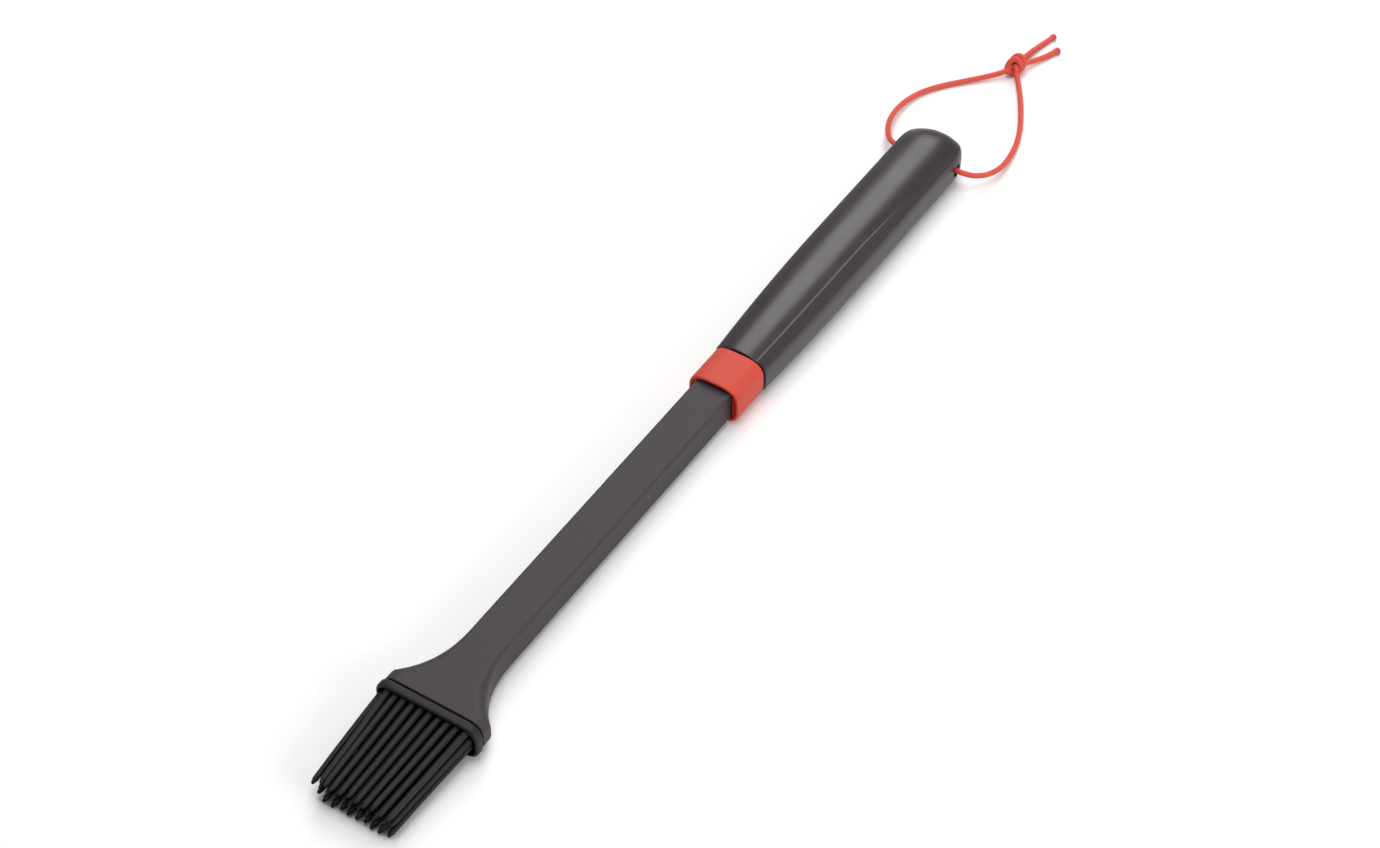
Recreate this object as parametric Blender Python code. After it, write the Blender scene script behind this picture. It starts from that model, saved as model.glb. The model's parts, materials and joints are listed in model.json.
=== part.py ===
"""Long-handled basting brush with a pull-off silicone head and a knotted hanging cord.

Metres, +Z up.  The brush lies along X on the plane z = 0, bristles towards -X and grip towards +X,
with the middle of its bounding box over the origin.  Sizes are in millimetres below and go through
mm() where a mesh is made.
"""
import math

import bmesh
import bpy
import numpy as np
from mathutils import Vector

# ---- driving dimensions, millimetres -------------------------------------------------------------
TOTAL_LENGTH = 461.0         # bristle tips to grip end
GAP = 0.3                    # clearance between pieces that fit together

BRISTLES_IN_ROW = (10, 11, 10, 9)
BRISTLE_REACH = 49.0         # bristle tips to the front edge of the rim
BRISTLE_TIP_DIAMETER = 2.1
ROOT_SHARE = 0.76            # a root's diameter as a share of the distance between rows
ROOT_CLEARANCE = 0.8         # open space between the outer rows' roots and the rim, so that they can bend
SIDE_CLEARANCE = 0.6         # and beside the widest rows
BEND_INSET = 0.4             # the rows bend about lines this far behind the rim's front edge
TIP_SHARE = 0.89             # the pack narrows to this share of its root width at the tips
TIP_ROW_PITCH = 3.75         # between rows at the tips
LOWEST_TIP_HEIGHT = 1.3      # centre of the lowest tips over the table

HEAD_HALF_WIDTH = 25.0
HEAD_LOW = 0.8               # the rim's underside over the table
HEAD_HEIGHT = 17.6
HEAD_CORNER = 7.0            # how far a corner's rounding reaches along each side
RIM_LIP = 1.0                # rounding of the rim's front edge
RIM_THICKNESS = 4.2          # along X
RIM_WALL = 1.2
PLUG_LENGTH = 13.0
SOCKET_WALL = 2.2            # neck wall round the plug

SEAM = 0.8                   # open groove between rim and neck
NECK_LENGTH = 47.0           # from the groove to where the shaft is straight
NECK_INSET = 0.5             # the neck's end stands this much inside the rim
NECK_SHOULDER = 6.0          # length of the rounded shoulder at the neck's wide end
SHOULDER_DROP = 0.36         # the shoulder falls in this much where it meets the flare
FLARE_SHORT = 5.0            # the flare would reach full width this far before the neck's end
FLARE_POWER = 2.9            # more keeps the neck slim for longer
SHAFT_WIDTH = 17.6
SHAFT_HEIGHT = 14.8
SHAFT_EDGE = 1.2             # rounding of the two upper edges
SHAFT_LOWER_EDGE = 1.4
ENTRY_LEAD = 3.0             # the shaft starts to taper this far before the collar
ENTRY_EASE = 0.15            # and is this much slimmer on every side at its shoulder
SHOULDER_STEP = 2.6          # the tang is this much smaller than the shaft on every side
TANG_LENGTH = 92.0           # from the shaft's shoulder
TANG_EDGE = 1.6

COLLAR_LENGTH = 21.2
COLLAR_WALL = 1.4            # at its two open ends
COLLAR_FLARE = 0.1           # extra half width at the front lip
COLLAR_LIP = 1.25            # rounding of its front edge
TABLE_CLEARANCE = 0.1        # the collar's underside over the table
MOUTH_SIDE = 2.5             # open space beside the shaft in the collar's mouth
MOUTH_TOP = 1.45             # and over it
MOUTH_DEPTH = 6.0            # from the front lip to the shaft's shoulder
BOSS_DEPTH = 6.0             # how far the grip's boss goes into the collar
GROOVE = 0.9                 # open groove between collar and grip

GRIP_LENGTH = 180.0          # from the groove to the end
GRIP_FACE_STEP = 0.4         # the grip's front face stands this much outside the collar
SWELL_LENGTH = 90.0          # from the front face to the grip's full width
GRIP_HALF_WIDTH = 15.8
GRIP_HALF_HEIGHT = 11.5
DOME_LENGTH = 17.0
DOME_ROUNDNESS = 2.5         # 2 closes the end as an ellipse, more is blunter
SQUARENESS = 3.3             # exponent of the collar's and the grip's section

BORE_FROM_END = 14.0         # cord hole's centre to the grip's end
BORE_DROP = 0.9              # and below the grip's middle
BORE_DIAMETER = 5.4
CORD_DIAMETER = 2.6
KNOT_RADIUS = 4.4
TAIL_BEAD_RADIUS = 1.75

# ---- stations along X, worked out from the sizes --------------------------------------------------
TIP_X = -TOTAL_LENGTH / 2
RIM_FRONT = TIP_X + BRISTLE_REACH
RIM_BACK = RIM_FRONT + RIM_THICKNESS
NECK_END = RIM_BACK + SEAM
NECK_START = NECK_END + NECK_LENGTH
GRIP_END = TOTAL_LENGTH / 2
GRIP_FACE = GRIP_END - GRIP_LENGTH
COLLAR_BACK = GRIP_FACE - GROOVE
COLLAR_FRONT = COLLAR_BACK - COLLAR_LENGTH
SHOULDER = COLLAR_FRONT + MOUTH_DEPTH
BOSS_FRONT = COLLAR_BACK - BOSS_DEPTH
BORE_X = GRIP_END - BORE_FROM_END

ROW_PITCH = (HEAD_HEIGHT - 2 * (RIM_WALL + ROOT_CLEARANCE)) / (len(BRISTLES_IN_ROW) - 1 + ROOT_SHARE)
ROOT_RADIUS = ROOT_SHARE * ROW_PITCH / 2
BRISTLE_PITCH = (HEAD_HALF_WIDTH - RIM_WALL - SIDE_CLEARANCE - ROOT_RADIUS) * 2 / (max(BRISTLES_IN_ROW) - 1)
ROW_AXIS_X = RIM_FRONT + BEND_INSET
FLOOR_X = ROW_AXIS_X + ROOT_RADIUS + GAP

MOUTH_HALF_WIDTH = SHAFT_WIDTH / 2 + MOUTH_SIDE
MOUTH_HALF_HEIGHT = SHAFT_HEIGHT / 2 + MOUTH_TOP
COLLAR_HALF_WIDTH = MOUTH_HALF_WIDTH + COLLAR_WALL
COLLAR_HALF_HEIGHT = MOUTH_HALF_HEIGHT + COLLAR_WALL
TANG_HALF_WIDTH = SHAFT_WIDTH / 2 - SHOULDER_STEP
TANG_HALF_HEIGHT = SHAFT_HEIGHT / 2 - SHOULDER_STEP

HEAD_MID = HEAD_LOW + HEAD_HEIGHT / 2
SHAFT_MID = COLLAR_HALF_HEIGHT + TABLE_CLEARANCE     # middle height of shaft and collar
SHAFT_LOW = SHAFT_MID - SHAFT_HEIGHT / 2
BORE_Z = GRIP_HALF_HEIGHT - BORE_DROP


def mm(value):
    return value * 0.001


# ---- scene ---------------------------------------------------------------------------------------
def empty_scene():
    for item in list(bpy.data.objects):
        bpy.data.objects.remove(item, do_unlink=True)


def plastic(name, colour, roughness):
    """A Principled material in one colour; colour is linear RGB."""
    material = bpy.data.materials.new(name)
    material.use_nodes = True
    shader = material.node_tree.nodes["Principled BSDF"]
    shader.inputs["Base Color"].default_value = (*colour, 1.0)
    shader.inputs["Roughness"].default_value = roughness
    shader.inputs["Metallic"].default_value = 0.0
    return material


def smooth(item, angle=35.0):
    item.data.shade_smooth()
    item.data.set_sharp_from_angle(angle=math.radians(angle))


def add_object(name, mesh, material, origin=(0.0, 0.0, 0.0)):
    """Link a mesh made in world metres as an object whose origin is a point in mm."""
    shift = Vector([mm(value) for value in origin])
    for vertex in mesh.vertices:
        vertex.co -= shift
    item = bpy.data.objects.new(name, mesh)
    item.location = shift
    item.data.materials.append(material)
    bpy.context.scene.collection.objects.link(item)
    smooth(item)
    return item


def cut(target, cutter, operation="DIFFERENCE"):
    """Apply an exact Boolean now and drop the cutter, so that each step leaves a plain mesh."""
    modifier = target.modifiers.new("cut", "BOOLEAN")
    modifier.operation = operation
    modifier.solver = "EXACT"
    modifier.object = cutter
    bpy.context.view_layer.update()
    evaluated = target.evaluated_get(bpy.context.evaluated_depsgraph_get())
    mesh = bpy.data.meshes.new_from_object(evaluated)
    target.modifiers.clear()
    old = target.data
    target.data = mesh
    bpy.data.meshes.remove(old)
    bpy.data.objects.remove(cutter, do_unlink=True)
    smooth(target)
    return target


# ---- sections: closed outlines of (y, z) in millimetres, turning from +Y towards +Z ----------------
def rounded_box(half_width, low, high, upper_reach, lower_reach, corner_points=5):
    """A box whose corners are eased by quadratic curves; a reach is limited by the box's own sides."""
    longest = 0.48 * min(high - low, 2 * half_width)
    upper_reach = min(upper_reach, longest)
    lower_reach = min(lower_reach, longest)
    corners = [((half_width, high), upper_reach, (0, -1), (-1, 0)),
               ((-half_width, high), upper_reach, (1, 0), (0, -1)),
               ((-half_width, low), lower_reach, (0, 1), (1, 0)),
               ((half_width, low), lower_reach, (-1, 0), (0, 1))]
    points = []
    for corner, reach, back, ahead in corners:
        corner = np.array(corner)
        start = corner + reach * np.array(back)
        end = corner + reach * np.array(ahead)
        for step in np.linspace(0.0, 1.0, corner_points):
            points.append((1 - step) ** 2 * start + 2 * step * (1 - step) * corner + step ** 2 * end)
    return np.array(points)


def superellipse(half_width, half_height, middle, exponent, count=36):
    """|y/a|^n + |z/b|^n = 1, with points at even steps of its angle."""
    angle = np.linspace(0.0, 2 * math.pi, count, endpoint=False) + math.pi / count
    radius = (np.abs(np.cos(angle) / half_width) ** exponent
              + np.abs(np.sin(angle) / half_height) ** exponent) ** (-1.0 / exponent)
    return np.stack([radius * np.cos(angle), middle + radius * np.sin(angle)], axis=1)


def loft_mesh(name, stations):
    """A closed mesh through outlines with the same number of points; stations is [(x, outline)]."""
    stations = sorted(stations, key=lambda station: station[0])
    mesh = bmesh.new()
    rings = [[mesh.verts.new((mm(x), mm(y), mm(z))) for y, z in outline] for x, outline in stations]
    count = len(rings[0])
    for ring, following in zip(rings, rings[1:]):
        for index in range(count):
            after = (index + 1) % count
            mesh.faces.new((ring[index], ring[after], following[after], following[index]))
    mesh.faces.new(list(reversed(rings[0])))
    mesh.faces.new(rings[-1])
    bmesh.ops.recalc_face_normals(mesh, faces=mesh.faces)
    data = bpy.data.meshes.new(name)
    mesh.to_mesh(data)
    mesh.free()
    return data


def loft(name, stations, material, origin=(0.0, 0.0, 0.0)):
    return add_object(name, loft_mesh(name, stations), material, origin)


# ---- handle --------------------------------------------------------------------------------------
def neck_half_width(x):
    """Concave flare from the straight shaft, then a short rounded shoulder at the head."""
    end_width = HEAD_HALF_WIDTH - NECK_INSET
    shaft_half = SHAFT_WIDTH / 2
    along = min(max((NECK_START - x) / (NECK_LENGTH - FLARE_SHORT), 0.0), 1.0)
    flare = shaft_half + (end_width - shaft_half) * along ** FLARE_POWER
    blend = min(max((NECK_END + NECK_SHOULDER - x) / NECK_SHOULDER, 0.0), 1.0)
    rounded = end_width - SHOULDER_DROP * (1.0 - blend) ** 2
    return flare + (rounded - flare) * (blend * blend * (3 - 2 * blend))


def neck_outline(x, inset=0.0):
    along = min(max((NECK_START - x) / NECK_LENGTH, 0.0), 1.0)
    rise = along * along * (3 - 2 * along)
    low = SHAFT_LOW + (HEAD_LOW + NECK_INSET - SHAFT_LOW) * rise
    high = SHAFT_LOW + SHAFT_HEIGHT
    high += (HEAD_LOW + HEAD_HEIGHT - NECK_INSET - high) * rise
    upper = SHAFT_EDGE + (HEAD_CORNER - SHAFT_EDGE) * rise
    lower = SHAFT_LOWER_EDGE + (HEAD_CORNER - SHAFT_LOWER_EDGE) * rise
    return rounded_box(neck_half_width(x) - inset, low + inset, high - inset,
                       max(upper - 0.7 * inset, 0.3), max(lower - 0.7 * inset, 0.3))


def tang_outline(clearance=0.0):
    half_height = TANG_HALF_HEIGHT + clearance
    return rounded_box(TANG_HALF_WIDTH + clearance, SHAFT_MID - half_height, SHAFT_MID + half_height,
                       TANG_EDGE, TANG_EDGE)


def plug_stations(inset, end):
    """The plug and its socket follow the neck's outside at a wall's distance, from the mouth in."""
    places = [NECK_END + (end - NECK_END) * step for step in np.linspace(0.0, 1.0, 6)]
    return [(x, neck_outline(x, inset)) for x in places]


def make_shaft(material):
    """Straight shaft, flared neck with the head's socket, and the tang that the grip sits on."""
    stations = [(NECK_END + NECK_LENGTH * step, neck_outline(NECK_END + NECK_LENGTH * step))
                for step in np.linspace(0.0, 1.0, 17)]
    stations.append((COLLAR_FRONT - ENTRY_LEAD, neck_outline(COLLAR_FRONT)))
    stations.append((SHOULDER, neck_outline(SHOULDER, ENTRY_EASE)))
    shaft = loft("shaft", stations, material)
    tang = loft("tang_tool", [(SHOULDER - 4.0, tang_outline()),
                              (SHOULDER + TANG_LENGTH, tang_outline())], material)
    cut(shaft, tang, "UNION")
    mouth = [(NECK_END - 5.0, neck_outline(NECK_END, SOCKET_WALL))]
    socket = loft("socket_tool", mouth + plug_stations(SOCKET_WALL, NECK_END + PLUG_LENGTH + GAP), material)
    return cut(shaft, socket)


def collar_outline(x, inset=0.0):
    along = (x - COLLAR_FRONT) / COLLAR_LENGTH
    flare = COLLAR_FLARE * max(0.0, 1.0 - 2.0 * along)
    return superellipse(COLLAR_HALF_WIDTH + flare - inset, COLLAR_HALF_HEIGHT - inset,
                        SHAFT_MID, SQUARENESS)


def mouth_outline(inset=0.0):
    """The hollow at both ends of the collar: the shaft stands in one, the grip's boss in the other."""
    return superellipse(MOUTH_HALF_WIDTH - inset, MOUTH_HALF_HEIGHT - inset, SHAFT_MID, SQUARENESS)


def make_collar(material):
    """Red ring: rounded front lip, open mouth round the shaft, recess at the back for the boss."""
    stations = []
    for turn in np.radians([20.0, 45.0, 70.0, 90.0]):
        outline = collar_outline(COLLAR_FRONT, COLLAR_LIP * (1 - math.sin(turn)))
        stations.append((COLLAR_FRONT + COLLAR_LIP * (1 - math.cos(turn)), outline))
    for step in np.linspace(0.15, 1.0, 5):
        x = COLLAR_FRONT + COLLAR_LENGTH * step
        stations.append((x, collar_outline(x)))
    collar = loft("collar", stations, material)
    mouth = loft("mouth_tool", [(COLLAR_FRONT - 2.0, mouth_outline()),
                                (SHOULDER + GAP, mouth_outline())], material)
    cut(collar, mouth)
    passage = loft("passage_tool", [(SHOULDER - 2.0, tang_outline(GAP)),
                                    (BOSS_FRONT + 2.0, tang_outline(GAP))], material)
    cut(collar, passage)
    recess = loft("recess_tool", [(BOSS_FRONT - GAP, mouth_outline()),
                                  (COLLAR_BACK + 2.0, mouth_outline())], material)
    return cut(collar, recess)


def grip_size(x):
    """Half width and half height: the grip swells from the collar, then closes in a dome."""
    along = min(max((x - GRIP_FACE) / SWELL_LENGTH, 0.0), 1.0)
    left = (1.0 - along) ** 2
    half_width = GRIP_HALF_WIDTH - (GRIP_HALF_WIDTH - COLLAR_HALF_WIDTH - GRIP_FACE_STEP) * left
    half_height = GRIP_HALF_HEIGHT - (GRIP_HALF_HEIGHT - COLLAR_HALF_HEIGHT - GRIP_FACE_STEP / 2) * left
    into_dome = max(0.0, (x - (GRIP_END - DOME_LENGTH)) / DOME_LENGTH)
    dome = (1.0 - into_dome ** DOME_ROUNDNESS) ** (1 / DOME_ROUNDNESS)
    return half_width * dome, half_height * dome


def grip_outline(x):
    half_width, half_height = grip_size(x)
    resting = grip_size(min(x, GRIP_END - DOME_LENGTH))[1]
    return superellipse(half_width, half_height, resting, SQUARENESS)


def make_grip(material):
    """Moulded grip with a boss for the collar, a socket for the tang and the cord's cross hole."""
    body_end = GRIP_END - DOME_LENGTH
    places = list(np.linspace(GRIP_FACE, body_end, 12))
    places += [GRIP_END - DOME_LENGTH * math.cos(turn) for turn in np.radians(np.arange(15.0, 88.0, 9.0))]
    grip = loft("grip", [(x, grip_outline(x)) for x in places] +
                [(GRIP_END, grip_outline(GRIP_END - 0.02))], material)
    boss = loft("boss_tool", [(BOSS_FRONT, mouth_outline(GAP)),
                              (GRIP_FACE + 3.0, mouth_outline(GAP))], material)
    cut(grip, boss, "UNION")
    socket = loft("tang_socket_tool", [(BOSS_FRONT - 2.0, tang_outline(GAP)),
                                       (SHOULDER + TANG_LENGTH + GAP, tang_outline(GAP))], material)
    cut(grip, socket)
    turns = np.linspace(0.0, 2 * math.pi, 20, endpoint=False)
    bore = bmesh.new()
    reach = GRIP_HALF_WIDTH + 5.0
    radius = BORE_DIAMETER / 2
    ends = [[bore.verts.new((mm(BORE_X + radius * math.cos(turn)), mm(side * reach),
                             mm(BORE_Z + radius * math.sin(turn)))) for turn in turns] for side in (-1, 1)]
    for index in range(len(turns)):
        after = (index + 1) % len(turns)
        bore.faces.new((ends[0][index], ends[0][after], ends[1][after], ends[1][index]))
    bore.faces.new(ends[0])
    bore.faces.new(ends[1])
    bmesh.ops.recalc_face_normals(bore, faces=bore.faces)
    data = bpy.data.meshes.new("bore_tool")
    bore.to_mesh(data)
    bore.free()
    return cut(grip, add_object("bore_tool", data, material))


# ---- silicone head -------------------------------------------------------------------------------
def rim_outline(inset):
    reach = HEAD_CORNER - 0.7 * inset
    high = HEAD_LOW + HEAD_HEIGHT - inset
    return rounded_box(HEAD_HALF_WIDTH - inset, HEAD_LOW + inset, high, reach, reach)


def make_head_base(material):
    """Rim with a rounded lip, a recessed floor for the bristle roots, and the plug behind."""
    stations = [(RIM_FRONT, rim_outline(RIM_LIP)),
                (RIM_FRONT + 0.3 * RIM_LIP, rim_outline(0.3 * RIM_LIP)),
                (RIM_FRONT + RIM_LIP, rim_outline(0.0)),
                (RIM_BACK - 0.4 * RIM_LIP, rim_outline(0.0)),
                (RIM_BACK, rim_outline(0.4 * RIM_LIP))]
    base = loft("head_base", stations, material)
    inset = SOCKET_WALL + GAP
    start = [(RIM_BACK - 0.9, neck_outline(NECK_END, inset))]
    plug = loft("plug_tool", start + plug_stations(inset, NECK_END + PLUG_LENGTH), material)
    cut(base, plug, "UNION")
    recess = loft("floor_tool", [(RIM_FRONT - 2.0, rim_outline(RIM_WALL)),
                                 (FLOOR_X, rim_outline(RIM_WALL))], material)
    return cut(base, recess)


def row_root_height(row):
    return HEAD_MID + ROW_PITCH * ((len(BRISTLES_IN_ROW) - 1) / 2 - row)


def row_tip_height(row):
    return LOWEST_TIP_HEIGHT + TIP_ROW_PITCH * (len(BRISTLES_IN_ROW) - 1 - row)


def bristle(mesh, root, tip, sides=8):
    """One tapered rod with a rounded tip, from root to tip (mm), added to a bmesh."""
    root, tip = Vector(root), Vector(tip)
    axis = (tip - root).normalized()
    across = axis.cross(Vector((0.0, 0.0, 1.0))).normalized()
    up = across.cross(axis)
    length = (tip - root).length
    tip_radius = BRISTLE_TIP_DIAMETER / 2
    shape = [(0.0, ROOT_RADIUS), (length - tip_radius, tip_radius),
             (length - 0.4 * tip_radius, 0.8 * tip_radius), (length, 0.25 * tip_radius)]
    rings = []
    for along, radius in shape:
        centre = root + axis * along
        ring = []
        for index in range(sides):
            turn = 2 * math.pi * (index + 0.5) / sides
            point = centre + across * (radius * math.cos(turn)) + up * (radius * math.sin(turn))
            ring.append(mesh.verts.new([mm(value) for value in point]))
        rings.append(ring)
    for ring, following in zip(rings, rings[1:]):
        for index in range(sides):
            after = (index + 1) % sides
            mesh.faces.new((ring[index], ring[after], following[after], following[index]))
    mesh.faces.new(list(reversed(rings[0])))
    mesh.faces.new(rings[-1])


def make_bristle_row(row, material):
    """One row of bristles on a thin root strip that lies along the row's bending axis."""
    count = BRISTLES_IN_ROW[row]
    height = row_root_height(row)
    radius = 0.7 * ROOT_RADIUS
    half = (count - 1) / 2
    strip = bmesh.new()
    ends = []
    for side in (-1, 1):
        y = side * (half * BRISTLE_PITCH + 0.3 * radius)
        ends.append([strip.verts.new((mm(ROW_AXIS_X + radius * math.cos(turn)), mm(y),
                                      mm(height + radius * math.sin(turn))))
                     for turn in np.linspace(0.0, 2 * math.pi, 12, endpoint=False)])
    for index in range(12):
        after = (index + 1) % 12
        strip.faces.new((ends[0][index], ends[0][after], ends[1][after], ends[1][index]))
    strip.faces.new(ends[0])
    strip.faces.new(ends[1])
    bmesh.ops.recalc_face_normals(strip, faces=strip.faces)
    strip_data = bpy.data.meshes.new("strip")
    strip.to_mesh(strip_data)
    strip.free()
    origin = (ROW_AXIS_X, 0.0, height)
    item = add_object(f"bristle_row_{row + 1}", strip_data, material, origin)
    rods = bmesh.new()
    for index in range(count):
        place = index - half
        root = (ROW_AXIS_X, place * BRISTLE_PITCH, height)
        tip = (TIP_X, place * BRISTLE_PITCH * TIP_SHARE, row_tip_height(row))
        bristle(rods, root, tip)
    bmesh.ops.recalc_face_normals(rods, faces=rods.faces)
    rod_data = bpy.data.meshes.new("rods")
    rods.to_mesh(rod_data)
    rods.free()
    return cut(item, add_object("rods_tool", rod_data, material, origin), "UNION")


# ---- hanging cord --------------------------------------------------------------------------------
# Route points of each half of the cord, from the middle of the cross hole to the knot, in mm: x from
# the hole's centre, y and z as they lie on the table.
LEFT_ROUTE = [(0.0, 0.2, 10.6), (0.0, 8.0, 10.6), (0.0, 15.2, 10.6), (1.1, 19.0, 10.2),
              (4.5, 23.6, 8.9), (11.4, 28.6, 7.2), (20.5, 32.4, 5.4), (30.5, 34.2, 3.8),
              (40.5, 33.9, 2.6), (50.0, 31.3, 1.9), (59.0, 26.1, 1.6), (67.5, 19.2, 1.6),
              (75.5, 11.6, 2.2), (81.5, 6.0, 3.1), (85.2, 3.2, 3.9)]
RIGHT_ROUTE = [(0.0, -0.2, 10.6), (0.0, -8.0, 10.6), (0.0, -15.2, 10.6), (0.7, -18.8, 9.9),
               (4.1, -23.2, 8.0), (10.8, -26.9, 5.8), (20.4, -28.6, 3.9), (30.8, -27.8, 2.6),
               (41.3, -25.6, 1.8), (51.3, -22.0, 1.5), (60.8, -17.4, 1.6), (70.3, -12.0, 2.0),
               (78.3, -6.6, 2.9), (84.0, -2.2, 3.8)]
KNOT_CENTRE = (89.5, 1.0, 4.5)
LONG_TAIL = [(94.3, 1.4, 3.6), (100.7, 1.8, 2.3), (108.2, 1.0, 1.7), (115.7, -0.6, 1.5),
             (121.2, -1.9, 1.5)]
SHORT_TAIL = [(93.9, -1.2, 3.9), (99.7, -3.4, 2.6), (106.2, -6.2, 1.9), (112.7, -8.6, 1.7)]


def through(route, count):
    """Points at even steps on a smooth (Catmull-Rom) curve through the route's points."""
    points = [Vector(point) for point in route]
    points = [points[0] * 2 - points[1]] + points + [points[-1] * 2 - points[-2]]
    fine = []
    for before, start, end, after in zip(points, points[1:], points[2:], points[3:]):
        for step in np.linspace(0.0, 1.0, 12, endpoint=False):
            fine.append(0.5 * (2 * start + (end - before) * step
                               + (2 * before - 5 * start + 4 * end - after) * step ** 2
                               + (3 * start - before - 3 * end + after) * step ** 3))
    fine.append(points[-2])
    fine = np.array([list(point) for point in fine])
    walked = np.concatenate([[0.0], np.cumsum(np.linalg.norm(np.diff(fine, axis=0), axis=1))])
    even = np.linspace(0.0, walked[-1], count)
    return np.stack([np.interp(even, walked, fine[:, axis]) for axis in range(3)], axis=1)


def make_cord(name, route, count, material):
    curve = bpy.data.curves.new(name, "CURVE")
    curve.dimensions = "3D"
    curve.bevel_depth = mm(CORD_DIAMETER / 2)
    curve.bevel_resolution = 2
    curve.use_fill_caps = True
    spline = curve.splines.new("POLY")
    points = through(route, count) - np.array([0.0, 0.0, BORE_Z])
    spline.points.add(len(points) - 1)
    for target, point in zip(spline.points, points):
        target.co = (*[mm(value) for value in point], 1.0)
    item = bpy.data.objects.new(name, curve)
    item.location = (mm(BORE_X), 0.0, mm(BORE_Z))
    item.data.materials.append(material)
    bpy.context.scene.collection.objects.link(item)
    return item


def make_ball(name, centre, radii, material, turns=16, levels=9):
    """A closed ball with its own radius along each axis, in mm; x of its centre from the cross hole."""
    mesh = bmesh.new()
    bmesh.ops.create_uvsphere(mesh, u_segments=turns, v_segments=levels, radius=1.0)
    for vertex in mesh.verts:
        vertex.co = Vector([mm(place + size * value)
                            for place, size, value in zip(centre, radii, vertex.co)])
        vertex.co.x += mm(BORE_X)
    data = bpy.data.meshes.new(name)
    mesh.to_mesh(data)
    mesh.free()
    return add_object(name, data, material, (BORE_X, 0.0, BORE_Z))


def tail_bead(name, tail, material):
    """Melted end of a tail: a flattened ball one gap beyond the tail's last point."""
    last, before = Vector(tail[-1]), Vector(tail[-2])
    half_length = 1.3
    centre = last + (last - before).normalized() * (half_length + GAP)
    centre.z = max(centre.z, TAIL_BEAD_RADIUS + 0.05)
    return make_ball(name, centre, (half_length, TAIL_BEAD_RADIUS, TAIL_BEAD_RADIUS), material, 12, 8)


def make_hanging_cord(material):
    make_cord("cord_left", LEFT_ROUTE, 26, material)
    make_cord("cord_right", RIGHT_ROUTE, 24, material)
    make_ball("knot", KNOT_CENTRE, (KNOT_RADIUS, KNOT_RADIUS, KNOT_RADIUS - 0.2), material)
    make_cord("tail_long", LONG_TAIL, 6, material)
    make_cord("tail_short", SHORT_TAIL, 5, material)
    tail_bead("tail_end_long", LONG_TAIL, material)
    tail_bead("tail_end_short", SHORT_TAIL, material)


def main():
    empty_scene()
    handle_black = plastic("handle_black", (0.072, 0.065, 0.070), 0.45)
    silicone_black = plastic("silicone_black", (0.035, 0.032, 0.032), 0.55)
    collar_red = plastic("collar_red", (0.68, 0.13, 0.10), 0.42)
    cord_red = plastic("cord_red", (0.60, 0.07, 0.06), 0.75)
    make_shaft(handle_black)
    make_collar(collar_red)
    make_grip(handle_black)
    make_head_base(silicone_black)
    for row in range(len(BRISTLES_IN_ROW)):
        make_bristle_row(row, silicone_black)
    make_hanging_cord(cord_red)


main()
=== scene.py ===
import json
import math

import bpy
import numpy as np
from mathutils import Matrix, Vector


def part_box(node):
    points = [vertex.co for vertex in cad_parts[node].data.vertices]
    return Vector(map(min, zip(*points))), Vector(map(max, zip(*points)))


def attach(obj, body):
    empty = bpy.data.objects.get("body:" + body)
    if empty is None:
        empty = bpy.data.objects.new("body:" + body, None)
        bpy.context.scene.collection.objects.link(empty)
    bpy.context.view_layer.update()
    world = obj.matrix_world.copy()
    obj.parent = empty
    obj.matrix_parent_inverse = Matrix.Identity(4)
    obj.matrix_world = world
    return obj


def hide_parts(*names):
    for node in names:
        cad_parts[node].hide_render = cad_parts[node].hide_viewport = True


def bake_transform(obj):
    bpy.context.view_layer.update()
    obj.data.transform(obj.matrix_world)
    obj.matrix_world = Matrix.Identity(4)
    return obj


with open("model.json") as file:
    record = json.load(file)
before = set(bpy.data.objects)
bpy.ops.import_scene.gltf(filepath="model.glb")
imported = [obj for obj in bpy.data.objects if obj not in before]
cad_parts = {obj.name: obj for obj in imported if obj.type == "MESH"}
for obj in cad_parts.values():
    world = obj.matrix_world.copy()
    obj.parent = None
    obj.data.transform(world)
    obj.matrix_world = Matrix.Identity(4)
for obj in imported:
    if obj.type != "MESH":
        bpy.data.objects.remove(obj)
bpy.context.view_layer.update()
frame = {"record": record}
mm = 0.001
joints = {joint["name"]: joint for joint in frame["record"]["behaviour"]["joints"]}
boreX, _, boreZ = joints["loop_swing"]["pos_m"]      # middle of the grip's cross hole
print("frame loaded")


cameraSet = dict(azimuth=-57.0, elevation=46.5, distance=1.278, target=(0.01075, 0.00055, 0.010),
                 lens=77.09, sensor=36.0)


def lookFrom(azimuth, elevation):      # unit vector from the object towards a viewer at these angles
    around, up = math.radians(azimuth), math.radians(elevation)
    return Vector((math.sin(around) * math.cos(up), -math.cos(around) * math.cos(up), math.sin(up)))


def aimed(item, spot, target):         # local -Z points from spot to target, local X stays level
    back = (spot - target).normalized()
    right = Vector((0, 0, 1)).cross(back).normalized()
    turned = Matrix((right, back.cross(right), back)).transposed().to_4x4()
    turned.translation = spot
    item.matrix_world = turned


def addCamera(settings):               # the camera stands at its distance from the target along back
    data = bpy.data.cameras.new("camera")
    data.sensor_width = settings["sensor"]
    data.lens = settings["lens"]
    data.clip_start = 0.01
    item = bpy.data.objects.new("camera", data)
    bpy.context.scene.collection.objects.link(item)
    target = Vector(settings["target"])
    back = lookFrom(settings["azimuth"], settings["elevation"])
    aimed(item, target + back * settings["distance"], target)
    bpy.context.scene.camera = item


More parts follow.
